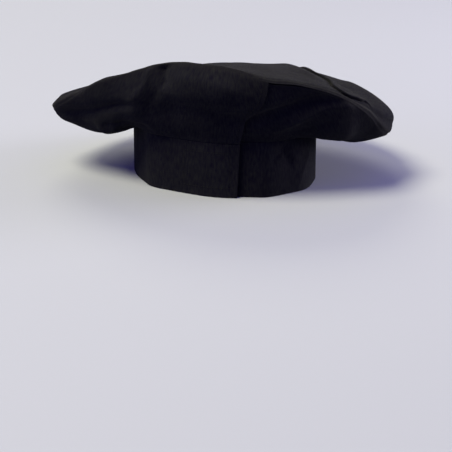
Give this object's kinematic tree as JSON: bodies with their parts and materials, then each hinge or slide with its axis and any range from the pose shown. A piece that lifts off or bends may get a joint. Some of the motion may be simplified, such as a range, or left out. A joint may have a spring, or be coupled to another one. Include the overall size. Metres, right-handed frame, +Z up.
{
  "type": "mushroom chef hat",
  "caption": "Soft black cloth chef hat: a wide floppy mushroom crown sewn to an upright headband that laps over itself at the back.",
  "frame": {"origin": "centre of the hat's bounding box in X and Y, on the floor under the headband's rim", "axes": "+Z up from the rim to the crown, -Y toward the closure at the hat's back, +X toward the wearer's right"},
  "size_m": [0.3186, 0.2862, 0.1233],
  "materials": {
    "black_twill": "matt black twill weave",
    "hook_and_loop": "matt black hook-and-loop tape"
  },
  "bodies": {
    "root": {"crown_top": "black_twill", "crown_side": "black_twill", "headband": "black_twill", "closure_strip": "hook_and_loop"}
  },
  "joints": []
}
